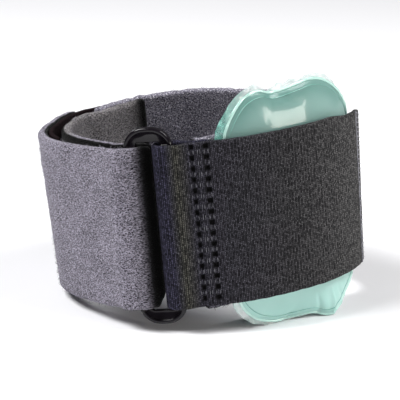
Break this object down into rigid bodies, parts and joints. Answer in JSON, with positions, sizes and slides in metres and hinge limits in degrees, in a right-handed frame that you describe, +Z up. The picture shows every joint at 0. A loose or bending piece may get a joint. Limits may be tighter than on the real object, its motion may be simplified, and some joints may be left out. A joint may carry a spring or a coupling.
{
  "type": "tennis elbow strap",
  "caption": "Padded forearm strap closed into a loop by a slotted plastic buckle, with an air pouch under black elastic.",
  "frame": {"origin": "middle of the bounding box on the surface that the closed loop stands on", "axes": "+X to the right across the loop's front, +Y to the back, +Z up along the arm opening"},
  "size_m": [0.104, 0.0822, 0.0756],
  "materials": {
    "black_elastic": "ribbed woven elastic webbing",
    "black_plastic": "moulded, glossy",
    "grey_laminate": "brushed loop cloth on foam",
    "black_hook_tape": "hook side of a touch fastener",
    "green_film": "soft glossy film, welded and inflated"
  },
  "bodies": {
    "root": {"elastic_panel": "black_elastic", "buckle": "black_plastic", "pull_strap": "grey_laminate", "hook_tab": "black_hook_tape", "back_strap": "grey_laminate", "aircell": "green_film"}
  },
  "joints": []
}
